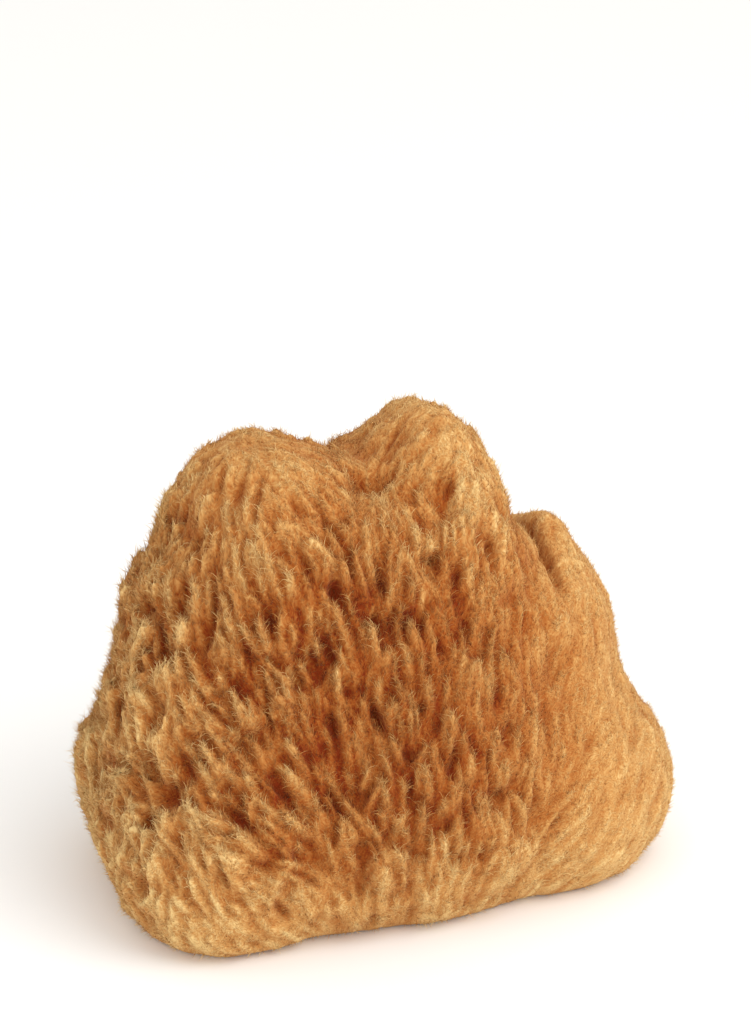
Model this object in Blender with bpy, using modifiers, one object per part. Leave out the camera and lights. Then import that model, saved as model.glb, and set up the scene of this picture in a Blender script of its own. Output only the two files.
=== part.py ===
"""A natural sea sponge, standing on the flat cut where it was taken off its rock.

It is one grown body: broad lobes run together into a mound with two crowns, a
cleft between them and a small spur on the right shoulder. Tufts of felted fibre
cover it, leaning the way that it grew, up and out from the foot. Furrows, small
pores and a few wide pores are sunk between them.

Metres, +Z up. The origin is the middle of the foot, +X runs along the width.
"""

import math
import random

import bmesh
import bpy
import numpy as np
from mathutils import Matrix, Vector, noise

# Driving dimensions of the whole sponge
WIDTH = 0.130
DEPTH = 0.088
HEIGHT = 0.102

# The lobes are given in this unit, a hundred and thirtieth of the width
UNIT = WIDTH / 130

# Lobes that make up the body: middle, half sizes and lean, which turns a lobe
# clockwise as seen from the front, in degrees
LOBES = {
    "foot_corner_left": ((-44, -21, 15), (24, 21, 23), 0),
    "foot_front_left": ((-36, -10, 17), (32, 31, 28), 0),
    "foot_back_left": ((-35, 12, 19), (30, 30, 30), 0),
    "foot_front_link": ((-18, -14, 15), (27, 29, 23), 0),
    "foot_front_middle": ((1, -14, 17), (38, 30, 28), 0),
    "foot_back_middle": ((2, 14, 17), (42, 29, 28), 0),
    "foot_front_right": ((29, -11, 16), (33, 31, 26), 0),
    "foot_back_right": ((31, 11, 13), (30, 29, 25), 0),
    "trunk": ((-4, 0, 40), (44, 36, 38), 0),
    "belly": ((6, -9, 40), (26, 29, 26), 0),
    "back": ((-8, 12, 48), (30, 27, 32), 0),
    "flank_left": ((-31, 1, 49), (29, 29, 35), 13),
    "flank_right": ((25, 2, 44), (28, 30, 28), -12),
    "crown_left": ((-27, 1, 79), (20, 23, 19), 0),
    "crown_left_root": ((-26, 0, 73), (23, 27, 19), 0),
    "crown_right": ((10, 2, 84), (12, 21, 16), -4),
    "crown_right_root": ((10, 1, 76), (16, 26, 17), -8),
    "crown_middle": ((3, 3, 75), (15, 24, 18), 0),
    "shoulder_right": ((12, 0, 61), (19, 28, 24), -24),
    "spur": ((40, 1, 60), (5.4, 8, 15), -8),
    "brow": ((-8, -3, 64), (31, 25, 25), 0),
    "nape": ((-6, 8, 64), (30, 24, 25), 0),
    "brow_left": ((-29, -3, 62), (23, 24, 25), 14),
    "waist_right": ((25, -6, 34), (24, 27, 23), -14),
    "waist_back": ((26, 8, 34), (25, 26, 23), -12),
    "waist_left": ((-37, -6, 40), (28, 27, 25), 8),
    "chin": ((0, -12, 30), (38, 30, 20), 0),
}

# The lobes melt into each other by this much smoothing of a fine skin
FINE_VOXEL = 2.0 * UNIT
MELT_FACTOR = 0.5
MELT_STEPS = 10

# The net of cells that the tufts stand on: taller than wide, each corner shaken
CELL = 3.8 * UNIT
CELL_SQUASH = 0.62
CELL_TURN = math.radians(31)
CELL_SHAKE = 0.6 * UNIT
SHAKE_ABOVE = 1.0 * UNIT

# The flat cut of the foot: corners this near to it are drawn onto it
FOOT_SNAP = 0.6 * UNIT
FOOT_EDGE = 0.5 * UNIT

# Where the growth spreads out from, under the foot
GROWTH_ROOT = Vector((0, 0, -24 * UNIT))
GROWTH_REACH = 95 * UNIT

# The skin turns from long tufts to velvet over these spans, to the right, up
# and down. Down at the foot the change goes only part of the way
VELVET_RIGHT = (-8 * UNIT, 34 * UNIT)
VELVET_HIGH = (64 * UNIT, 92 * UNIT)
VELVET_LOW = (22 * UNIT, 4 * UNIT)
VELVET_LOW_MOST = 0.7
VELVET_CURVE = 1.4
VELVET_MOST = 0.75

# Furrows between the tufts: depth, and their size across and along the growth
FURROW_DEPTH = 3.6 * UNIT
FURROW_ACROSS = 5.2 * UNIT
FURROW_ALONG = 13 * UNIT
FURROW_GAIN = 1.9
FURROW_ABOVE = 2.0 * UNIT

# Tufts: how far a tip stands out, and how far it sweeps on along the growth
TUFT_RISE = (1.4 * UNIT, 3.6 * UNIT)
TUFT_SWEEP = (2.8 * UNIT, 5.0 * UNIT)
VELVET_RISE = (0.5 * UNIT, 1.5 * UNIT)
LOWEST_TIP = 0.6 * UNIT
SMALLEST_CELL = 5.0 * UNIT * UNIT

# Small pores: the share of the cells that sink instead of rising, and how deep
PORE_SHARE = 0.10
PORE_DEPTH = (1.5 * UNIT, 3.2 * UNIT)

# Wide pores: a point near the skin, the radius and the depth. The hollow's bowl
# fades out at PORE_RIM radii. The notches lie in a row and part the spur from
# the shoulder
WIDE_PORES = {
    "crown": ((-1, -25, 77), 3.4, 6.5),
    "cleft": ((-7, -11, 88), 3.0, 5.0),
    "waist": ((-41, -29, 47), 4.0, 6.5),
    "side": ((-37, -26, 59), 3.2, 5.0),
    "middle": ((-5, -36, 44), 3.2, 5.5),
    "low": ((9, -38, 29), 3.0, 4.5),
    "back": ((14, 34, 50), 4.0, 6.5),
    "back_low": ((-24, 38, 34), 3.6, 6.0),
    "top": ((-20, 6, 99), 3.2, 5.0),
    "notch_front": ((33.5, -6, 74), 3.0, 7.0),
    "notch": ((33.5, 1, 76), 3.0, 8.0),
    "notch_back": ((33.5, 8, 74), 3.0, 7.0),
}
PORE_RIM = 1.3
PORE_NEAR = 3.0
PORE_BOWL = 2.0

# The seed of every random draw, and the digits that tell two places apart
SEED = 20
PLACE_DIGITS = 7

COLOUR = (0.50, 0.245, 0.075, 1.0)
ROUGHNESS = 0.92


def clear_scene():
    for obj in list(bpy.data.objects):
        bpy.data.objects.remove(obj, do_unlink=True)


def collection(name):
    made = bpy.data.collections.new(name)
    bpy.context.scene.collection.children.link(made)
    return made


def growth(point):
    """The way that the fibres run at a point: away from the root of the growth."""
    return (point - GROWTH_ROOT).normalized()


def add_lobe(middle, half, lean):
    bpy.ops.mesh.primitive_uv_sphere_add(segments=48, ring_count=24, radius=UNIT)
    lobe = bpy.context.object
    place = Matrix.Translation(Vector(middle) * UNIT)
    turn = Matrix.Rotation(math.radians(lean), 4, "Y")
    lobe.matrix_world = place @ turn @ Matrix.Diagonal((*half, 1))
    return lobe


def remesh(obj, voxel):
    modifier = obj.modifiers.new("Net", "REMESH")
    modifier.mode = "VOXEL"
    modifier.voxel_size = voxel
    apply_modifiers(obj)


def smooth(obj, factor, steps):
    modifier = obj.modifiers.new("Melt", "SMOOTH")
    modifier.factor = factor
    modifier.iterations = steps
    apply_modifiers(obj)


def apply_modifiers(obj):
    graph = bpy.context.evaluated_depsgraph_get()
    shaped = bpy.data.meshes.new_from_object(obj.evaluated_get(graph))
    obj.modifiers.clear()
    obj.data = shaped


def lobed_body():
    """All the lobes run together in one skin, with soft valleys between them."""
    lobes = [add_lobe(*values) for values in LOBES.values()]
    with bpy.context.temp_override(
        active_object=lobes[0], selected_editable_objects=lobes
    ):
        bpy.ops.object.join()
    body = lobes[0]
    body.data.transform(body.matrix_world)
    body.matrix_world = Matrix.Identity(4)
    remesh(body, FINE_VOXEL)
    smooth(body, MELT_FACTOR, MELT_STEPS)
    return body


def lay_cells(body):
    """A coarse net of cells that the tufts will stand on.

    It is laid on a squashed and turned copy, so the cells come out tall and their
    rows don't line up with the front.
    """
    squash = Matrix.Diagonal((1, 1, CELL_SQUASH, 1))
    change = squash @ Matrix.Rotation(CELL_TURN, 4, "Z")
    body.data.transform(change)
    remesh(body, CELL)
    smooth(body, MELT_FACTOR, 1)
    body.data.transform(change.inverted())


def cut_foot(mesh):
    """Takes away all below the floor and closes the cut with one flat face."""
    bmesh.ops.bisect_plane(
        mesh,
        geom=mesh.verts[:] + mesh.edges[:] + mesh.faces[:],
        plane_co=(0, 0, 0),
        plane_no=(0, 0, -1),
        clear_outer=True,
        dist=FOOT_SNAP,
    )
    rim = [edge for edge in mesh.edges if edge.is_boundary]
    bmesh.ops.holes_fill(mesh, edges=rim, sides=0)
    for corner in {vertex for edge in rim for vertex in edge.verts}:
        corner.co.z = 0


def share_of(value, span):
    """How far a value is through a span, as 0 before it to 1 past it."""
    return min(max((value - span[0]) / (span[1] - span[0]), 0), 1)


def coarseness(point):
    """1 where the skin is long tufts, less where it is velvet.

    The tops, the right flank and the foot are velvet, the left and the middle
    are tufted.
    """
    velvet = max(
        share_of(point.x, VELVET_RIGHT),
        share_of(point.z, VELVET_HIGH),
        share_of(point.z, VELVET_LOW) * VELVET_LOW_MOST,
    )
    return 1 - VELVET_MOST * velvet**VELVET_CURVE


def furrow(point):
    """0 on a ridge to 1 in a furrow. Furrows are long in the way of the growth."""
    spread = growth(point) * GROWTH_REACH / FURROW_ACROSS
    height = (point - GROWTH_ROOT).length / FURROW_ALONG
    return max(0, noise.noise(spread + Vector((0, 0, height))) * FURROW_GAIN)


def from_foot_up(vertices):
    """The vertices in the order of their places, so each draw falls on the same one."""
    return sorted(vertices, key=lambda v: [round(c, PLACE_DIGITS) for c in v.co.zxy])


def sink_furrows(mesh):
    moves = {}
    for vertex in mesh.verts:
        if vertex.co.z > FURROW_ABOVE:
            depth = FURROW_DEPTH * coarseness(vertex.co) * furrow(vertex.co)
            moves[vertex] = vertex.normal * -depth
    for vertex, move in moves.items():
        vertex.co += move


def shake_cells(mesh, draw):
    """Moves each corner a little along the skin, so the net doesn't show."""
    for vertex in from_foot_up(mesh.verts):
        if vertex.co.z > SHAKE_ABOVE:
            way = Vector([draw.gauss(0, 1) for _ in range(3)])
            way -= vertex.normal * way.dot(vertex.normal)
            vertex.co += way * CELL_SHAKE


def sink_wide_pores(mesh):
    """Presses a round hollow into the skin at each wide pore."""
    for near, radius, depth in WIDE_PORES.values():
        mouth = min(mesh.verts, key=lambda v: (v.co - Vector(near) * UNIT).length)
        inwards = -mouth.normal
        centre = mouth.co.copy()
        for vertex in mesh.verts:
            away = (vertex.co - centre) / (radius * UNIT)
            reach = (away - inwards * away.dot(inwards)).length
            if away.length < PORE_NEAR and reach < PORE_RIM:
                vertex.co += inwards * depth * UNIT * math.exp(-PORE_BOWL * reach**2)


def tuft_cells(mesh):
    cells = [face for face in mesh.faces if face.calc_center_median().z > FOOT_EDGE]
    return [face for face in cells if face.calc_area() > SMALLEST_CELL]


def raise_tufts(mesh, draw):
    """Pulls the middle of each cell out to a leaning tip, or in to a small pore."""
    middles = bmesh.ops.poke(mesh, faces=tuft_cells(mesh))["verts"]
    for tip in from_foot_up(middles):
        coarse = coarseness(tip.co)
        outwards = tip.normal.copy()
        along = growth(tip.co)
        along -= outwards * along.dot(outwards)
        if draw.random() < PORE_SHARE:
            tip.co -= outwards * draw.uniform(*PORE_DEPTH) * coarse
            continue
        tufted = draw.uniform(*TUFT_RISE)
        velvet = draw.uniform(*VELVET_RISE)
        rise = tufted * coarse + velvet * (1 - coarse)
        tip.co += outwards * rise + along * draw.uniform(*TUFT_SWEEP) * coarse
        tip.co.z = max(tip.co.z, LOWEST_TIP)


def fit_to_size(mesh):
    """Centres the body on its foot and brings it to the driving dimensions."""
    points = np.array([vertex.co for vertex in mesh.verts])
    low = points.min(axis=0)
    high = points.max(axis=0)
    size = high - low
    for vertex in mesh.verts:
        vertex.co.x = (vertex.co.x - (low[0] + high[0]) / 2) * WIDTH / size[0]
        vertex.co.y = (vertex.co.y - (low[1] + high[1]) / 2) * DEPTH / size[1]
        vertex.co.z = (vertex.co.z - low[2]) * HEIGHT / size[2]


def sponge_material():
    material = bpy.data.materials.new("golden_fibre")
    material.use_nodes = True
    surface = material.node_tree.nodes["Principled BSDF"]
    surface.inputs["Base Color"].default_value = COLOUR
    surface.inputs["Roughness"].default_value = ROUGHNESS
    surface.inputs["Metallic"].default_value = 0.0
    return material


def make_sponge(parts):
    draw = random.Random(SEED)
    body = lobed_body()
    lay_cells(body)
    mesh = bmesh.new()
    mesh.from_mesh(body.data)
    cut_foot(mesh)
    mesh.normal_update()
    shake_cells(mesh, draw)
    mesh.normal_update()
    sink_furrows(mesh)
    mesh.normal_update()
    sink_wide_pores(mesh)
    mesh.normal_update()
    raise_tufts(mesh, draw)
    fit_to_size(mesh)
    bmesh.ops.triangulate(mesh, faces=mesh.faces[:])
    bmesh.ops.recalc_face_normals(mesh, faces=mesh.faces[:])
    mesh.to_mesh(body.data)
    print("sponge:", len(mesh.faces), "triangles")
    mesh.free()
    body.name = "sponge"
    body.data.name = "sponge"
    body.data.materials.clear()
    body.data.materials.append(sponge_material())
    for owner in list(body.users_collection):
        owner.objects.unlink(body)
    parts.objects.link(body)
    return body


clear_scene()
make_sponge(collection("sea_sponge"))
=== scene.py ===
# %% [markdown]
# # A natural sea sponge, fibre by fibre
#
# A dried bath sponge is a felt of very fine, springy fibres. They grow up and
# out from the foot, gather in pointed tufts, and leave dark furrows and pores
# between the tufts. From a step away it looks like combed golden fur.
#
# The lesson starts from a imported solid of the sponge, which has its true size,
# its lobes and its tufts. Two things are built on it: a fine skin that replaces
# the solid, and about 125,000 fibres that grow out of the skin.

import math

import bmesh
import bpy
import numpy as np
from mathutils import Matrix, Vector, noise
from mathutils.kdtree import KDTree


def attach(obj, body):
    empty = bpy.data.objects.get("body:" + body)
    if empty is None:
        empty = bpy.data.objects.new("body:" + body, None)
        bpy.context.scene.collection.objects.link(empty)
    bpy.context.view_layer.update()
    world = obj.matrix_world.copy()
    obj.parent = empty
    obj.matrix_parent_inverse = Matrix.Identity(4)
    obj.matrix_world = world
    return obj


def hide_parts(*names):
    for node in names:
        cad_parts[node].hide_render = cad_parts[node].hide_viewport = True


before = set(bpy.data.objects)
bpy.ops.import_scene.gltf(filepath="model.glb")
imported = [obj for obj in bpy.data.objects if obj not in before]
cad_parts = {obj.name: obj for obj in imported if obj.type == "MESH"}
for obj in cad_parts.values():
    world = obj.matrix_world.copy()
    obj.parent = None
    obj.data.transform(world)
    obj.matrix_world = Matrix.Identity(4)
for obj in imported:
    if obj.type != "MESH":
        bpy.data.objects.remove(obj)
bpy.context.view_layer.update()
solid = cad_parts["sponge"]
MM = 0.001

# %% [markdown]
# ## The camera
#
# The sponge is seen from a little above and from its left, through a long lens,
# so its upright edges hardly lean together. A camera can be placed by hand, but
# here it is placed by two angles and a distance, which say plainly where a
# photographer would stand.

# %% Place the camera
IMAGE = (751, 1024)
AZIMUTH = math.radians(-22)
ELEVATION = math.radians(24)
DISTANCE = 0.9
PIXELS_PER_MM = 4.7
TARGET = Vector((0, 0, 50 * MM))
TARGET_PIXEL = (369, 642)

to_camera = Vector(
    (
        math.sin(AZIMUTH) * math.cos(ELEVATION),
        -math.cos(AZIMUTH) * math.cos(ELEVATION),
        math.sin(ELEVATION),
    )
)
lens = bpy.data.cameras.new("camera")
camera = bpy.data.objects.new("camera", lens)
bpy.context.scene.collection.objects.link(camera)
bpy.context.scene.camera = camera
camera.location = TARGET + to_camera * DISTANCE
camera.rotation_mode = "QUATERNION"
camera.rotation_quaternion = (-to_camera).to_track_quat("-Z", "Y")
long_side = IMAGE[1]
lens.lens = lens.sensor_width * DISTANCE * PIXELS_PER_MM / MM / long_side
lens.shift_x = (IMAGE[0] / 2 - TARGET_PIXEL[0]) / long_side
lens.shift_y = (TARGET_PIXEL[1] - IMAGE[1] / 2) / long_side
print("lens", round(lens.lens, 1), "mm, shift", round(lens.shift_x, 3), round(lens.shift_y, 3))

# %% [markdown]
# ## The way of the growth
#
# Every fibre follows the growth. It spreads from a root point below the foot, so
# it runs straight up in the middle and fans out to the sides. The skin isn't
# the same all over: the left and the middle carry long tufts, while the crowns,
# the right flank and the foot are a fine velvet. Both facts are small functions
# of the place, and everything below asks them.

# %% Growth and coarseness
GROWTH_ROOT = np.array((0, 0, -24)) * MM
VELVET_RIGHT = (-4 * MM, 38 * MM)
VELVET_HIGH = (74 * MM, 101 * MM)
VELVET_LOW = (34 * MM, 6 * MM)
VELVET_LOW_MOST = 0.75
VELVET_CURVE = 1.4


def unit(vectors):
    """The vectors at length 1."""
    lengths = np.linalg.norm(vectors, axis=-1, keepdims=True)
    return vectors / np.maximum(lengths, 1e-12)


def along_skin(directions, normals):
    """The part of the directions that lies in the skin."""
    return directions - normals * (directions * normals).sum(-1, keepdims=True)


def growth(places):
    return unit(places - GROWTH_ROOT)


def share_of(values, span):
    return np.clip((values - span[0]) / (span[1] - span[0]), 0, 1)


def coarseness(places):
    """1 where the tufts are long, towards 0 where the skin is velvet."""
    to_right = share_of(places[:, 0], VELVET_RIGHT)
    to_top = share_of(places[:, 2], VELVET_HIGH)
    to_foot = share_of(places[:, 2], VELVET_LOW) * VELVET_LOW_MOST
    return 1 - np.maximum.reduce((to_right, to_top, to_foot)) ** VELVET_CURVE


# %% [markdown]
# ## The skin
#
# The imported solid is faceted. A voxel remesh gives it an even, fine net, and a
# few rounds of smoothing round the facets off, which leaves soft tufts with
# valleys between them. This skin is what shows at the bottom of the furrows,
# and it is where the fibres root. Where a tip of the solid is thinner than a
# voxel, the remesh leaves a loose bit in the air, so only the one large part
# is kept.

# %% Make the fine skin
SKIN_VOXEL = 0.9 * MM
SKIN_SMOOTHING = 16
SAME_PLACE = 0.01 * MM


def coordinates(mesh):
    flat = np.empty(len(mesh.vertices) * 3, np.float32)
    mesh.vertices.foreach_get("co", flat)
    return flat.reshape(-1, 3).astype(float)


def set_coordinates(mesh, places):
    mesh.vertices.foreach_set("co", places.astype(np.float32).ravel())
    mesh.update()


def vertex_normals(mesh):
    flat = np.empty(len(mesh.vertices) * 3, np.float32)
    mesh.vertices.foreach_get("normal", flat)
    return flat.reshape(-1, 3).astype(float)


def smoothed(mesh, values, rounds):
    """The values per vertex, each moved half way to its neighbours' mean, again and again."""
    pairs = np.empty(len(mesh.edges) * 2, np.int64)
    mesh.edges.foreach_get("vertices", pairs)
    ends = pairs.reshape(-1, 2)
    here = np.concatenate((ends[:, 0], ends[:, 1]))
    there = np.concatenate((ends[:, 1], ends[:, 0]))
    count = np.bincount(here, minlength=len(values))[:, None]
    for _ in range(rounds):
        columns = [
            np.bincount(here, weights=column[there], minlength=len(values))
            for column in values.T
        ]
        values = 0.5 * values + 0.5 * np.stack(columns, axis=1) / count
    return values


def keep_largest_part(net):
    """Deletes all but the largest connected part of a bmesh, and counts the rest."""
    unseen = set(net.verts)
    parts = []
    for start in net.verts:
        if start not in unseen:
            continue
        unseen.remove(start)
        part = [start]
        for vertex in part:
            for edge in vertex.link_edges:
                other = edge.other_vert(vertex)
                if other in unseen:
                    unseen.remove(other)
                    part.append(other)
        parts.append(part)
    parts.sort(key=len)
    bmesh.ops.delete(net, geom=[vertex for part in parts[:-1] for vertex in part])
    return len(parts) - 1


def remeshed_copy(obj, name, voxel):
    """A closed, even net over the object, as an object of its own."""
    copy = bpy.data.objects.new(name, obj.data.copy())
    bpy.context.scene.collection.objects.link(copy)
    net = bmesh.new()
    net.from_mesh(copy.data)
    bmesh.ops.remove_doubles(net, verts=net.verts, dist=SAME_PLACE)
    net.to_mesh(copy.data)
    remesh = copy.modifiers.new("fine_net", "REMESH")
    remesh.mode = "VOXEL"
    remesh.voxel_size = voxel
    graph = bpy.context.evaluated_depsgraph_get()
    fine = bpy.data.meshes.new_from_object(copy.evaluated_get(graph))
    copy.modifiers.clear()
    copy.data = fine
    net.clear()
    net.from_mesh(fine)
    print("loose bits left out:", keep_largest_part(net))
    net.to_mesh(fine)
    net.free()
    return copy


skin = remeshed_copy(solid, "sponge_skin", SKIN_VOXEL)
places = smoothed(skin.data, coordinates(skin.data), SKIN_SMOOTHING)
set_coordinates(skin.data, places)
print("skin", len(skin.data.polygons), "quads")

# %% [markdown]
# ## The slit beside the spur
#
# The small spur on the right shoulder is parted from it by a slit, too narrow
# for the coarse cells of the solid. It is pressed straight down into the skin,
# deepest along one line from front to back.

# %% Press the slit
SLIT_X = 36.6 * MM
SLIT_HALF_WIDTH = 1.5 * MM
SLIT_DEPTH = 5.0 * MM
SLIT_ABOVE = (60 * MM, 69 * MM)

across = (places[:, 0] - SLIT_X) / SLIT_HALF_WIDTH
pressed = SLIT_DEPTH * np.exp(-(across**2)) * share_of(places[:, 2], SLIT_ABOVE)
places[:, 2] -= pressed
set_coordinates(skin.data, places)
print("pressed up to", round(float(pressed.max()) / MM, 1), "mm")

# %% [markdown]
# ## Hollows and crests
#
# How deep a place lies is read by comparing the skin with a much smoother copy
# of itself: below the copy is a hollow, above it a crest. The hollows get
# painted shade, a darker colour, and carry fewer ridges, so the pores stay
# open. The crests get a little painted light.
#
# From here on chance plays a part. Blender's vector noise differs from run to run
# unless it is given a seed, so it gets one, like the random numbers, and each run
# grows the same sponge.

# %% Fix what chance gives
SEED = 7
random = np.random.default_rng(SEED)
noise.seed_set(SEED)
print("seed", SEED)

# %% Measure the hollows
HOLLOW_ROUNDS = 60
HOLLOW_DEEP = 1.3 * MM


def hollows(mesh):
    """Per vertex -1 on a crest, 1 in a deep hollow."""
    here = coordinates(mesh)
    even = smoothed(mesh, here, HOLLOW_ROUNDS)
    depth = ((even - here) * vertex_normals(mesh)).sum(-1)
    depth -= np.median(depth)
    return np.clip(depth / HOLLOW_DEEP, -1, 1)


hollow = hollows(skin.data)
print("deep hollows", int((hollow > 0.6).sum()), "of", len(hollow))

# %% [markdown]
# ## Where the ridges stand
#
# Between the furrows the felt stands in ridges, each like a small flame: narrow,
# several times longer than wide, lying along the growth and lifting at its upper
# end. Their middles are scattered with a least distance between them. The
# distance is measured shorter along the growth than across it, so the ridges
# pack like flames and not like scales.

# %% Place the ridges
RIDGE_CANDIDATES = 50000
RIDGE_GAP = 1.85 * MM
RIDGE_GAP_VARIES = (0.8, 1.3)
RIDGE_LENGTHENED = 3.4
RIDGES_ABOVE = 1.5 * MM
NORMAL_ROUNDS = 3
SWAY = 0.34
SWAY_SIZE = 10 * MM


def between(span, share):
    return span[0] + (span[1] - span[0]) * share


def column(values):
    return values[:, None]


def swayed(places, size, amount):
    """Slow random turns, the same for neighbours."""
    turns = [noise.noise_vector(Vector(place) / size) for place in places]
    return np.array(turns) * amount


def flow_at(places, normals):
    """The way that the felt is combed: the growth, laid into the skin."""
    return unit(along_skin(growth(places) + swayed(places, SWAY_SIZE, SWAY), normals))


def tree_of(places):
    tree = KDTree(len(places))
    for index, place in enumerate(places):
        tree.insert(place, index)
    tree.balance()
    return tree


def spaced_out(places, flow, gap):
    """Picks of the places that keep the gap, which is longer along the flow."""
    tree = tree_of(places)
    free = np.ones(len(places), bool)
    kept = []
    for index, place in enumerate(places):
        if not free[index]:
            continue
        kept.append(index)
        near = [other for _, other, _ in tree.find_range(place, gap[index] * RIDGE_LENGTHENED)]
        apart = places[near] - place
        along = apart @ flow[index]
        across = (apart**2).sum(-1) - along**2
        close = across + (along / RIDGE_LENGTHENED) ** 2 < gap[index] ** 2
        free[np.array(near)[close]] = False
    return kept


skin_places = coordinates(skin.data)
skin_normals = unit(smoothed(skin.data, vertex_normals(skin.data), NORMAL_ROUNDS))
skin_flow = flow_at(skin_places, skin_normals)
off_foot = np.flatnonzero(skin_places[:, 2] > RIDGES_ABOVE)
ridge = random.choice(off_foot, RIDGE_CANDIDATES, replace=False)
gaps = RIDGE_GAP * random.uniform(*RIDGE_GAP_VARIES, RIDGE_CANDIDATES)
ridge = ridge[spaced_out(skin_places[ridge], skin_flow[ridge], gaps)]
ridge_place = skin_places[ridge]
ridge_normal = skin_normals[ridge]
ridge_flow = skin_flow[ridge]
ridge_coarse = coarseness(ridge_place)
ridge_hollow = hollow[ridge]
print("ridges", len(ridge))

# %% [markdown]
# ## Raise the ridges
#
# A ridge starts level with the skin at its lower end, climbs along the growth
# and ends steeply, as a flame does. It also gets narrower on the way. Where
# ridges overlap the higher one wins. The skin is pushed out and a little forward
# by that height, so the ends of the ridges hang over the furrows.

# %% Shape the ridges
RIDGE_LENGTH = (7.0 * MM, 15.0 * MM)
RIDGE_HALF_WIDTH = (0.85 * MM, 1.8 * MM)
RIDGE_HEIGHT = (0.6 * MM, 2.9 * MM)
RIDGE_HEIGHT_VARIES = (0.4, 1.25)
RIDGE_BEND = 0.5
RIDGE_PEAK = 0.75
RIDGE_CURVE = 0.7
RIDGE_END = 1.05
RIDGE_DROP = 0.25
RIDGE_TAPER = (1.25, 0.6)
RIDGE_TINT = 0.06
HOLLOW_LOWERS = 0.6
RIDGES_NEAR = 18

ridges = len(ridge)
ridge_length = random.uniform(*RIDGE_LENGTH, ridges)
ridge_width = random.uniform(*RIDGE_HALF_WIDTH, ridges)
ridge_height = between(RIDGE_HEIGHT, ridge_coarse)
ridge_height *= random.uniform(*RIDGE_HEIGHT_VARIES, ridges)
ridge_bend = random.uniform(-RIDGE_BEND, RIDGE_BEND, ridges)
ridge_height *= 1 - HOLLOW_LOWERS * np.maximum(ridge_hollow, 0)
ridge_tint = random.normal(0, RIDGE_TINT, ridges)
ridge_tree = tree_of(ridge_place)


def ridge_rise(places, which):
    """Height at the places over the ridges which, as a share of each ridge's own."""
    apart = places - ridge_place[which]
    flow = ridge_flow[which]
    along = (apart * flow).sum(-1)
    across = (apart * np.cross(ridge_normal[which], flow)).sum(-1)
    across -= ridge_bend[which] * along**2 / ridge_length[which]
    share = along / ridge_length[which] + 0.5
    climb = np.clip(share / RIDGE_PEAK, 0, 1) ** RIDGE_CURVE
    drop = np.clip((RIDGE_END - share) / RIDGE_DROP, 0, 1)
    half_width = ridge_width[which] * (RIDGE_TAPER[0] - RIDGE_TAPER[1] * np.clip(share, 0, 1))
    return climb * drop * np.clip(1 - (across / half_width) ** 2, 0, 1)


def relief_at(places):
    """The height of the highest ridge at each place, its share, and the ridge."""
    near = np.array(
        [[index for _, index, _ in ridge_tree.find_n(place, RIDGES_NEAR)] for place in places]
    )
    shares = np.stack([ridge_rise(places, near[:, k]) for k in range(RIDGES_NEAR)], axis=1)
    heights = shares * ridge_height[near]
    best = heights.argmax(axis=1)
    rows = np.arange(len(places))
    return heights[rows, best], shares[rows, best], near[rows, best]


height, rise_share, nearest_ridge = relief_at(skin_places)
print("ridges stand up to", round(float(height.max()) / MM, 1), "mm")

# %% [markdown]
# ## Open pores
#
# Here and there the sponge opens between the ridges in a dark slot, several
# times longer than wide. Each is a bowl with soft sides, stretched along the
# growth, and the tone paints shade into it as well. In the velvet the same
# slots are only shallow dimples.

# %% Place the pores and sink them
PORE_CANDIDATES = 6000
PORE_GAP = 4.6 * MM
PORE_GAP_VARIES = (0.8, 1.8)
PORE_HALF_LENGTH = (2.0 * MM, 5.0 * MM)
PORE_HALF_WIDTH = (0.6 * MM, 1.15 * MM)
PORE_DEPTH = (0.5 * MM, 2.3 * MM)
PORE_DEPTH_VARIES = (0.4, 1.2)
PORE_BOWL_REACH = 2.2

pore = random.choice(off_foot, PORE_CANDIDATES, replace=False)
gaps = PORE_GAP * random.uniform(*PORE_GAP_VARIES, PORE_CANDIDATES)
pore = pore[spaced_out(skin_places[pore], skin_flow[pore], gaps)]
skin_tree = tree_of(skin_places)
pores = len(pore)
pore_half_length = random.uniform(*PORE_HALF_LENGTH, pores)
pore_half_width = random.uniform(*PORE_HALF_WIDTH, pores)
pore_depth = between(PORE_DEPTH, coarseness(skin_places[pore]))
pore_depth *= random.uniform(*PORE_DEPTH_VARIES, pores)
pore_share = np.zeros(len(skin_places))
sunk = np.zeros(len(skin_places))
for k in range(pores):
    middle = pore[k]
    reach = pore_half_length[k] * PORE_BOWL_REACH
    near = [index for _, index, _ in skin_tree.find_range(skin_places[middle], reach)]
    apart = skin_places[near] - skin_places[middle]
    along = apart @ skin_flow[middle] / pore_half_length[k]
    across = apart @ np.cross(skin_normals[middle], skin_flow[middle]) / pore_half_width[k]
    bowl = np.exp(-(along**2) - across**2)
    pore_share[near] = np.maximum(pore_share[near], bowl)
    sunk[near] = np.maximum(sunk[near], bowl * pore_depth[k])
print("pores", pores)

# %% [markdown]
# ## Move the skin
#
# Now every point of the skin goes out by the height of its ridge and in by the
# depth of its pore. Near the foot the moves fade, so the sponge keeps its flat cut.

# %% Push the skin out and in
SKIN_SINK = (0.0, 0.6 * MM)
HOLLOW_GAIN = 0.3 * MM
RIDGE_HANG = 0.7
PORE_FLATTENS = 0.8
FOOT_CLEAR = 0.4 * MM
FOOT_FADE = (0.5 * MM, 4 * MM)

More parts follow.
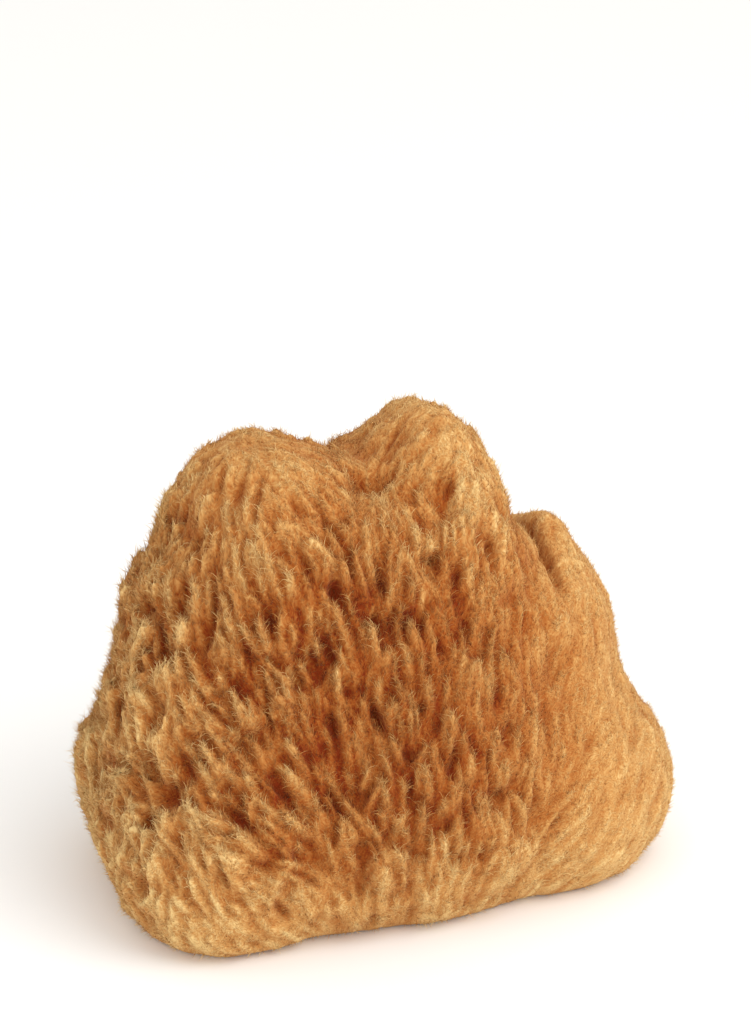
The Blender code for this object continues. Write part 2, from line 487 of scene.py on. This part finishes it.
skin_coarse = coarseness(skin_places)
height *= 1 - PORE_FLATTENS * pore_share
rise_share *= 1 - PORE_FLATTENS * pore_share
push = height - between(SKIN_SINK, skin_coarse) - sunk - HOLLOW_GAIN * np.maximum(hollow, 0)
raised = skin_places + skin_normals * column(push) + skin_flow * column(height) * RIDGE_HANG
fade = column(share_of(skin_places[:, 2], FOOT_FADE))
raised = skin_places * (1 - fade) + raised * fade
raised[:, 2] = np.where(skin_places[:, 2] < FOOT_CLEAR, 0, np.maximum(raised[:, 2], 0))
set_coordinates(skin.data, smoothed(skin.data, raised, 1))
skin.data.shade_smooth()
print("pushed", [round(float(v) / MM, 1) for v in (push.min(), push.max())], "mm")

# %% [markdown]
# ## Tone
#
# One number says how pale the felt is at a place, and both the skin and the
# fibres use it: deep rust in the furrows, ochre on the flanks of the ridges,
# straw at their ends. The rust in furrows, hollows and pores is painted shade.
# The crowns, the right flank and the foot are paler as a whole, partly as
# painted light: the glow of the lit flank and the light from the floor.

# %% Tone of the skin
REGION_TONE = (0.24, 0.62)
DEEP_MIDDLE = (-11 * MM, 51 * MM)
DEEP_REACH = (58 * MM, 50 * MM)
REGION_CURVE = 1.5
# Darker low on a ridge and in the furrows, which is painted shade; paler at the ridge ends.
RIDGE_TONE_AND_FURROW_SHADE = (0.16, 0.56)
RIDGE_MIDDLE = 0.40
TINT_SHARE = (0.5, 1.0)
# Painted shade in the hollows and pores, and a little painted light on the crests.
HOLLOW_PAINTED_SHADE = (0.14, 0.26)
CREST_PAINTED_LIGHT = -0.3
# Painted light: paler on the right flank, where it glows, and near the foot, lit from the floor.
PAINTED_LIGHT = (
    (0, (8 * MM, 50 * MM), 0.07),
    (2, (26 * MM, 6 * MM), 0.09),
)


def region_tone_and_painted_light(places):
    """Deep in the middle, paler out to the crowns, sides and foot; partly painted light."""
    sideways = (places[:, 0] - DEEP_MIDDLE[0]) / DEEP_REACH[0]
    upwards = (places[:, 2] - DEEP_MIDDLE[1]) / DEEP_REACH[1]
    pale = between(REGION_TONE, np.clip(np.hypot(sideways, upwards), 0, 1) ** REGION_CURVE)
    for axis, span, change in PAINTED_LIGHT:
        pale += change * share_of(places[:, axis], span)
    return pale


tone = (
    region_tone_and_painted_light(skin_places)
    # Painted shade low in the furrows, paler towards the ridge ends.
    + between(RIDGE_TONE_AND_FURROW_SHADE, skin_coarse) * (rise_share - RIDGE_MIDDLE)
    + between(TINT_SHARE, skin_coarse) * ridge_tint[nearest_ridge]
    # Painted shade in the hollows and pores, a little painted light on the crests.
    - between(HOLLOW_PAINTED_SHADE, skin_coarse) * (np.maximum(hollow, CREST_PAINTED_LIGHT) + pore_share)
)
tone_layer = skin.data.attributes.new("tone", "FLOAT", "POINT")
tone_layer.data.foreach_set("value", tone.astype(np.float32))
print("tone", [round(float(v), 2) for v in np.percentile(tone, (5, 50, 95))])

# %% [markdown]
# ## Roots
#
# A fibre starts at a random point of the skin. Picking triangles by their area
# spreads the roots evenly, where picking vertices would crowd them. The foot is
# left bare, because the sponge stands on it.

# %% Scatter roots over the skin
BARE_BELOW = 0.6 * MM


def triangles_of(mesh):
    mesh.calc_loop_triangles()
    flat = np.empty(len(mesh.loop_triangles) * 3, np.int64)
    mesh.loop_triangles.foreach_get("vertices", flat)
    return flat.reshape(-1, 3)


skin_triangles = triangles_of(skin.data)
raised = coordinates(skin.data)
raised_normals = unit(smoothed(skin.data, vertex_normals(skin.data), 1))
corner_places = raised[skin_triangles]
edge_one = corner_places[:, 1] - corner_places[:, 0]
edge_two = corner_places[:, 2] - corner_places[:, 0]
triangle_area = np.linalg.norm(np.cross(edge_one, edge_two), axis=1)
triangle_area[corner_places[:, :, 2].min(1) < BARE_BELOW] = 0
print("triangles with roots", int((triangle_area > 0).sum()))


def scatter(count):
    """Random places on the skin: place, normal, flow, tone, rise and coarseness."""
    chosen = random.choice(len(triangle_area), count, p=triangle_area / triangle_area.sum())
    u, v = random.random((2, count))
    fold = u + v > 1
    u[fold], v[fold] = 1 - u[fold], 1 - v[fold]
    weights = np.stack((1 - u - v, u, v), axis=1)
    corners = skin_triangles[chosen]

    def blend(values):
        if values.ndim == 1:
            return (values[corners] * weights).sum(1)
        return (values[corners] * weights[:, :, None]).sum(1)

    normal = unit(blend(raised_normals))
    flow = unit(along_skin(blend(skin_flow), normal))
    return blend(raised), normal, flow, blend(tone), blend(rise_share), blend(skin_coarse)


# %% [markdown]
# ## A fibre
#
# A fibre is a closed, three-sided spike: rings of three points and a tip. Three
# sides are the fewest that have a thickness, so many thousands stay affordable.
# All the fibres of a piece are worked out at once as arrays and joined in one
# mesh. Hair curves would be quicker to set up, but they aren't real geometry.
#
# Each fibre carries two numbers in its UV map: how far along it a point is, and
# its tone. Its colour is looked up from these two alone.

# %% Build many fibres as one mesh
SIDES = 3
UV_NAME = "OFBake"
TONE_WIDTH = 0.004
LIFT_ABOVE_FLOOR = 0.25 * MM


def fibre_faces(rings):
    """The faces of one fibre, and (along, beside) for each of their corners."""
    tip = rings * SIDES
    along = [ring / rings for ring in range(rings) for _ in range(SIDES)] + [1.0]
    beside = [-1.0, 0.0, 1.0] * rings + [0.0]
    cap = [2, 1, 0]
    faces = [cap]
    corners = [(TONE_WIDTH * place, beside[k]) for place, k in enumerate(cap)]
    for ring in range(rings - 1):
        low, high = ring * SIDES, (ring + 1) * SIDES
        for i in range(SIDES):
            j = (i + 1) % SIDES
            faces.append([low + i, low + j, high + j, high + i])
    last = (rings - 1) * SIDES
    faces += [[last + i, last + (i + 1) % SIDES, tip] for i in range(SIDES)]
    corners += [(along[k], beside[k]) for face in faces[1:] for k in face]
    return faces, np.array(corners)


def fibre_mesh(name, lines, radii, tones):
    """One object of closed spikes: lines are fibres x points x 3, root first."""
    count, points = lines.shape[:2]
    rings = points - 1
    each = rings * SIDES + 1
    spine = unit(lines[:, -1] - lines[:, 0])
    across = unit(np.cross(spine, random.normal(0, 1, (count, 3))))
    other = np.cross(spine, across)
    turns = 2 * np.pi * np.arange(SIDES) / SIDES
    circle = (
        across[:, None, None] * np.cos(turns)[None, None, :, None]
        + other[:, None, None] * np.sin(turns)[None, None, :, None]
    )
    ring_points = lines[:, :rings, None] + circle * radii[:, :, None, None]
    vertices = np.concatenate(
        (ring_points.reshape(count, rings * SIDES, 3), lines[:, -1:]), axis=1
    )
    vertices[..., 2] = np.maximum(vertices[..., 2], LIFT_ABOVE_FLOOR)
    faces, corners = fibre_faces(rings)
    corner_of = np.array([k for face in faces for k in face])
    sizes = np.array([len(face) for face in faces])

    mesh = bpy.data.meshes.new(name)
    mesh.vertices.add(count * each)
    mesh.vertices.foreach_set("co", vertices.astype(np.float32).ravel())
    mesh.loops.add(count * len(corner_of))
    indices = corner_of[None] + each * np.arange(count)[:, None]
    mesh.loops.foreach_set("vertex_index", indices.ravel().astype(np.int32))
    mesh.polygons.add(count * len(sizes))
    starts = np.concatenate(([0], np.cumsum(np.tile(sizes, count))[:-1]))
    mesh.polygons.foreach_set("loop_start", starts.astype(np.int32))
    layer = mesh.uv_layers.new(name=UV_NAME)
    uv = np.tile(corners[None], (count, 1, 1))
    uv[:, :, 1] = column(np.clip(tones, 0.02, 0.98)) + uv[:, :, 1] * TONE_WIDTH
    layer.data.foreach_set("uv", uv.astype(np.float32).ravel())
    mesh.update(calc_edges=True)
    mesh.shade_smooth()
    made = bpy.data.objects.new(name, mesh)
    bpy.context.scene.collection.objects.link(made)
    print(name, count, "fibres,", count * (1 + SIDES + 2 * SIDES * (rings - 1)), "triangles")
    return made


# %% [markdown]
# ## Felt
#
# Most fibres are short and lie nearly flat along the growth, so they look like
# combed felt. Neighbours along the growth share their tone, which draws the
# felt in strands. The count is as high as a mesh piece may go.

# %% How many fibres
FELT_PIECES = 2
FELT_COUNT = 49900
WISP_PIECES = 2
WISP_COUNT = 12400
print("fibres", FELT_PIECES * FELT_COUNT + WISP_PIECES * WISP_COUNT)

# %% Grow the felt
FELT_LENGTH = (1.3 * MM, 3.2 * MM)
FELT_LEAN = (math.radians(8), math.radians(52))
FELT_RADIUS = 0.08 * MM
FELT_RADIUS_VARIES = (0.7, 1.2)
LENGTH_BY_RISE = (0.7, 1.0)
LENGTH_BY_COARSE = (0.5, 1.0)
STRAY = (0.4, 0.16)
FIBRE_TINT = 0.06
ROOT_DEPTH = 0.15 * MM
FELT_STREAK = 0.16
FELT_STREAK_ACROSS = 0.8 * MM
FELT_STREAK_ALONG = 6.0 * MM
CURL = 0.7
CURL_SIZE = 2.6 * MM
UNIT_REACH = 100 * MM


def streak_at(places):
    """From -1 to 1, the same along the growth, so that neighbours match in strands."""
    out = places - GROWTH_ROOT
    reach = column(np.linalg.norm(out, axis=-1))
    marks = out / reach * (UNIT_REACH / FELT_STREAK_ACROSS) + reach / FELT_STREAK_ALONG
    return np.array([noise.noise(Vector(mark)) for mark in marks])


def grow_felt(count):
    roots, normals, flow, tones, share, coarse = scatter(count)
    length = random.uniform(*FELT_LENGTH, count) * between(LENGTH_BY_RISE, share)
    length *= between(LENGTH_BY_COARSE, coarse)
    lean = between(FELT_LEAN, random.random(count) ** 2)
    curl = swayed(roots, CURL_SIZE, CURL)
    stray = random.normal(0, 1, (count, 3)) * column(between(STRAY, coarse))
    way = unit(flow + curl + stray)
    ends = roots + column(length) * (
        way * column(np.cos(lean)) + normals * column(np.sin(lean))
    )
    lines = np.stack((roots - normals * ROOT_DEPTH, ends), axis=1)
    tones = tones + random.normal(0, FIBRE_TINT, count) + FELT_STREAK * streak_at(roots)
    return lines, tones


fibre_pieces = []
for number in range(FELT_PIECES):
    lines, tones = grow_felt(FELT_COUNT)
    radii = FELT_RADIUS * random.uniform(*FELT_RADIUS_VARIES, (FELT_COUNT, 1))
    fibre_pieces.append(fibre_mesh(f"felt_{number + 1}", lines, radii, tones))

# %% [markdown]
# ## Wisps
#
# The ends of the ridges fray into pale hairs that lift off and curl aside. They
# make the bright fringe of each tuft and the see-through edge of the sponge. A
# wisp is likelier the higher its root stands on a ridge, and it comes in patches.
# Five times as many roots as needed are scattered, and the likely ones are kept.

# %% Grow the wisps
WISP_LENGTH = (1.3 * MM, 3.6 * MM)
WISP_LEAN = (math.radians(6), math.radians(46))
WISP_RADIUS = 0.062 * MM
WISP_RADIUS_VARIES = (0.7, 1.3)
WISP_TAPER = np.array((1.0, 0.85, 0.6))
WISP_CURL = 0.85
WISP_PALER = 0.16
WISP_STRAY = 0.25
WISP_CURL_STRAY = 0.5
WISP_RISE_POWER = 4
WISP_ANYWHERE = 0.02
WISP_ROOT_DEPTH = 0.1 * MM
WISP_SHORTER = (0.6, 1)
WISP_THINNED = (0.3, 1)
PATCH_SIZE = 9 * MM
PATCH_EVEN = 0.5
PATCH_GAIN = 1.6
PATCH_LEAST = 0.1
TRIES = 5


def grow_wisps(count):
    roots, normals, flow, tones, share, coarse = scatter(count * TRIES)
    patches = np.array([noise.noise(Vector(root) / PATCH_SIZE) for root in roots])
    likely = share**WISP_RISE_POWER + WISP_ANYWHERE
    likely *= np.clip(PATCH_EVEN + PATCH_GAIN * patches, PATCH_LEAST, 1)
    likely *= between(WISP_THINNED, coarse)
    chosen = random.choice(len(roots), count, replace=False, p=likely / likely.sum())
    roots, normals, flow, tones, coarse = (
        values[chosen] for values in (roots, normals, flow, tones, coarse)
    )
    length = random.uniform(*WISP_LENGTH, count) * between(WISP_SHORTER, coarse)
    step = column(length) / len(WISP_TAPER)
    lean = column(random.uniform(*WISP_LEAN, count))
    way = unit(flow + random.normal(0, WISP_STRAY, (count, 3)))
    heading = unit(way * np.cos(lean) + normals * np.sin(lean))
    aside = np.cross(heading, normals) * column(random.choice((-1, 1), count))
    curl = WISP_CURL * unit(aside + random.normal(0, WISP_CURL_STRAY, (count, 3)))
    points = [roots - normals * WISP_ROOT_DEPTH]
    for _ in WISP_TAPER:
        points.append(points[-1] + step * heading)
        heading = unit(heading + curl)
    lines = np.stack(points, axis=1)
    return lines, tones + WISP_PALER + random.normal(0, FIBRE_TINT, count)


for number in range(WISP_PIECES):
    lines, tones = grow_wisps(WISP_COUNT)
    radii = WISP_RADIUS * WISP_TAPER * random.uniform(*WISP_RADIUS_VARIES, (WISP_COUNT, 1))
    fibre_pieces.append(fibre_mesh(f"wisps_{number + 1}", lines, radii, tones))

# %% [markdown]
# ## Shader arithmetic
#
# Materials are easier to read as formulas. The small class below wraps a socket
# of a node, so that sums on it add the Math nodes that they need.

# %% A socket that can be reckoned with
def set_sockets(node, sockets):
    """Gives each named socket of a node its value, or links it to a wire."""
    for name, value in sockets.items():
        if isinstance(value, Wire):
            node.id_data.links.new(value.socket, node.inputs[name])
        else:
            node.inputs[name].default_value = value


class Wire:
    """An output socket of a shader node, with arithmetic."""

    def __init__(self, socket):
        self.socket = socket

    @classmethod
    def from_node(cls, tree, kind, settings=(), sockets=(), output=0):
        """Adds a node: its settings first, then its sockets. A ramp's are its stops."""
        made = tree.nodes.new(kind)
        for name, value in dict(settings).items():
            if name == "stops":
                cls.set_stops(made.color_ramp.elements, value)
            else:
                setattr(made, name, value)
        set_sockets(made, dict(sockets))
        return cls(made.outputs[output])

    @staticmethod
    def set_stops(marks, stops):
        while len(marks) < len(stops):
            marks.new(1.0)
        for mark, (place, colour) in zip(marks, stops):
            mark.position = place
            mark.color = (*colour, 1.0)

    def beside(self, output):
        """Another output of the same node."""
        return Wire(self.socket.node.outputs[output])

    def then(self, kind, operation, values, output=0):
        tree = self.socket.id_data
        sockets = enumerate(values)
        return Wire.from_node(tree, kind, {"operation": operation}, sockets, output)

    def number(self, operation, *values):
        return self.then("ShaderNodeMath", operation, values)

    def vector(self, operation, *values, output=0):
        return self.then("ShaderNodeVectorMath", operation, (self, *values), output)

    def __add__(self, other):
        return self.number("ADD", self, other)

    __radd__ = __add__

    def __mul__(self, other):
        return self.number("MULTIPLY", self, other)

    __rmul__ = __mul__

    def __sub__(self, other):
        return self.number("SUBTRACT", self, other)

    def __rsub__(self, other):
        return self.number("SUBTRACT", other, self)

    def ramp(self, stops):
        """The colour at this value on a run of stops: (place, colour)."""
        tree = self.socket.id_data
        return Wire.from_node(tree, "ShaderNodeValToRGB", {"stops": stops}, {"Fac": self})


# %% [markdown]
# ## The colour of the fibre
#
# The root of a fibre sits in shade, so its colour is painted a deeper rust
# there: painted shade. Towards the tip it turns golden, and the last bit is straw. The whole run is
# paler on
# some fibres than on others. The finish is dull, and a soft sheen stands for
# the light that the finest fuzz scatters.

# %% Fibre material
def linear(*rgb):
    """A screen colour, 0 to 255, as the linear values that a shader takes."""
    return tuple(
        value / 255 / 12.92 if value < 10.3 else ((value / 255 + 0.055) / 1.055) ** 2.4
        for value in rgb
    )


PALETTE = (
    (0.00, linear(124, 42, 6)),
    (0.25, linear(152, 79, 26)),
    (0.50, linear(176, 113, 55)),
    (0.75, linear(200, 149, 87)),
    (1.00, linear(230, 196, 134)),
)


def new_material(name):
    material = bpy.data.materials.new(name)
    material.use_nodes = True
    tree = material.node_tree
    shader = tree.nodes["Principled BSDF"]
    return material, tree, shader


SOFT_FINISH = {
    "Roughness": 0.85,
    "Specular IOR Level": 0.12,
    "Sheen Weight": 0.12,
    "Sheen Roughness": 0.5,
    "Sheen Tint": (*linear(255, 225, 180), 1.0),
}
# Painted shade: darker towards the root of each fibre, paler towards the tip.
ROOT_SHADE_GAIN = 0.22
TIP_EVEN = 0.25


def fibre_material():
    material, tree, shader = new_material("golden_fibre")
    along = Wire.from_node(
        tree,
        "ShaderNodeSeparateXYZ",
        sockets={0: Wire.from_node(tree, "ShaderNodeUVMap", {"uv_map": UV_NAME})},
    )
    tone_here = along.beside(1)
    colour = (tone_here + (along - TIP_EVEN) * ROOT_SHADE_GAIN).ramp(PALETTE)
    set_sockets(shader, {"Base Color": colour, **SOFT_FINISH})
    return material


# %% Skin material
STREAK_ACROSS = 0.35 * MM
STREAK_ALONG = 2.6 * MM
STREAK_REACH = 80 * MM
STREAK_WANDER = 0.06
STREAK_GAIN = 0.9
WANDER_SCALE = 160.0
BUMP_STRENGTH = 0.7
BUMP_DISTANCE = 0.5 * MM


def skin_material():
    """Felt: fine streaks along the growth over the tone of the place."""
    material, tree, shader = new_material("sponge_skin")
    place = Wire.from_node(tree, "ShaderNodeTexCoord", output="Object")
    out = place.vector("SUBTRACT", tuple(GROWTH_ROOT))
    reach = out.vector("LENGTH", output="Value")
    wander = Wire.from_node(
        tree, "ShaderNodeTexNoise", sockets={"Vector": place, "Scale": WANDER_SCALE}, output="Color"
    )
    shift = wander.vector("SUBTRACT", (0.5, 0.5, 0.5)).vector("MULTIPLY", (STREAK_WANDER,) * 3)
    heading = out.vector("NORMALIZE").vector("ADD", shift)
    streaks = Wire.from_node(
        tree,
        "ShaderNodeTexNoise",
        {"noise_dimensions": "4D"},
        {
            "Vector": heading.vector("MULTIPLY", (STREAK_REACH / STREAK_ACROSS,) * 3),
            "W": reach * (1 / STREAK_ALONG),
            "Scale": 1.0,
            "Detail": 3.0,
        },
    )
    streak = streaks - 0.5
    tone_here = Wire.from_node(
        tree, "ShaderNodeAttribute", {"attribute_name": "tone"}, output="Fac"
    )
    bump = Wire.from_node(
        tree,
        "ShaderNodeBump",
        sockets={"Strength": BUMP_STRENGTH, "Distance": BUMP_DISTANCE, "Height": streak},
    )
    colour = (tone_here + streak * STREAK_GAIN).ramp(PALETTE)
    set_sockets(shader, {"Base Color": colour, "Normal": bump, **SOFT_FINISH})
    return material


golden = fibre_material()
for piece in fibre_pieces:
    piece.data.materials.append(golden)
skin.data.materials.clear()
skin.data.materials.append(skin_material())
print("materials", len(bpy.data.materials))

# %% [markdown]
# ## What rides on what
#
# The sponge has one body. The skin stands for the solid, and the fibres ride
# with it.

# %% Ride and replace
for piece in [skin, *fibre_pieces]:
    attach(piece, "root")
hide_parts("sponge")

# %% [markdown]
# ## Floor and light
#
# A pale floor, a big soft light from the upper right, a low one from the front
# and a near white world give the even light of a shop picture, with a soft
# shadow under the foot.

# %% Stage
FLOOR_SIZE = 6.0
FLOOR_BELOW = 0.2 * MM
FLOOR_COLOUR = (0.92, 0.915, 0.90)
WORLD_COLOUR = (1.0, 0.99, 0.97, 1.0)
WORLD_STRENGTH = 1.0


def flat_material(name, colour):
    material, tree, shader = new_material(name)
    set_sockets(
        shader, {"Base Color": (*colour, 1.0), "Roughness": 0.9, "Specular IOR Level": 0.1}
    )
    return material


bpy.ops.mesh.primitive_plane_add(size=FLOOR_SIZE, location=(0, 0, -FLOOR_BELOW))
floor = bpy.context.object
floor.name = "floor"
floor.data.materials.append(flat_material("floor", FLOOR_COLOUR))


def soft_light(name, azimuth, elevation, distance, size, power):
    """A square area light that faces the sponge."""
    data = bpy.data.lights.new(name, "AREA")
    data.size = size
    data.energy = power
    light = bpy.data.objects.new(name, data)
    bpy.context.scene.collection.objects.link(light)
    a, e = math.radians(azimuth), math.radians(elevation)
    away = Vector((math.sin(a) * math.cos(e), -math.cos(a) * math.cos(e), math.sin(e)))
    light.location = TARGET + away * distance
    light.rotation_mode = "QUATERNION"
    light.rotation_quaternion = (-away).to_track_quat("-Z", "Y")
    return light


soft_light("key", azimuth=34, elevation=50, distance=0.8, size=0.6, power=3)
soft_light("fill", azimuth=-12, elevation=8, distance=0.9, size=0.6, power=2.5)
world = bpy.data.worlds.new("studio")
bpy.context.scene.world = world
world.use_nodes = True
set_sockets(
    world.node_tree.nodes["Background"], {"Color": WORLD_COLOUR, "Strength": WORLD_STRENGTH}
)
bpy.context.scene.view_settings.view_transform = "Standard"
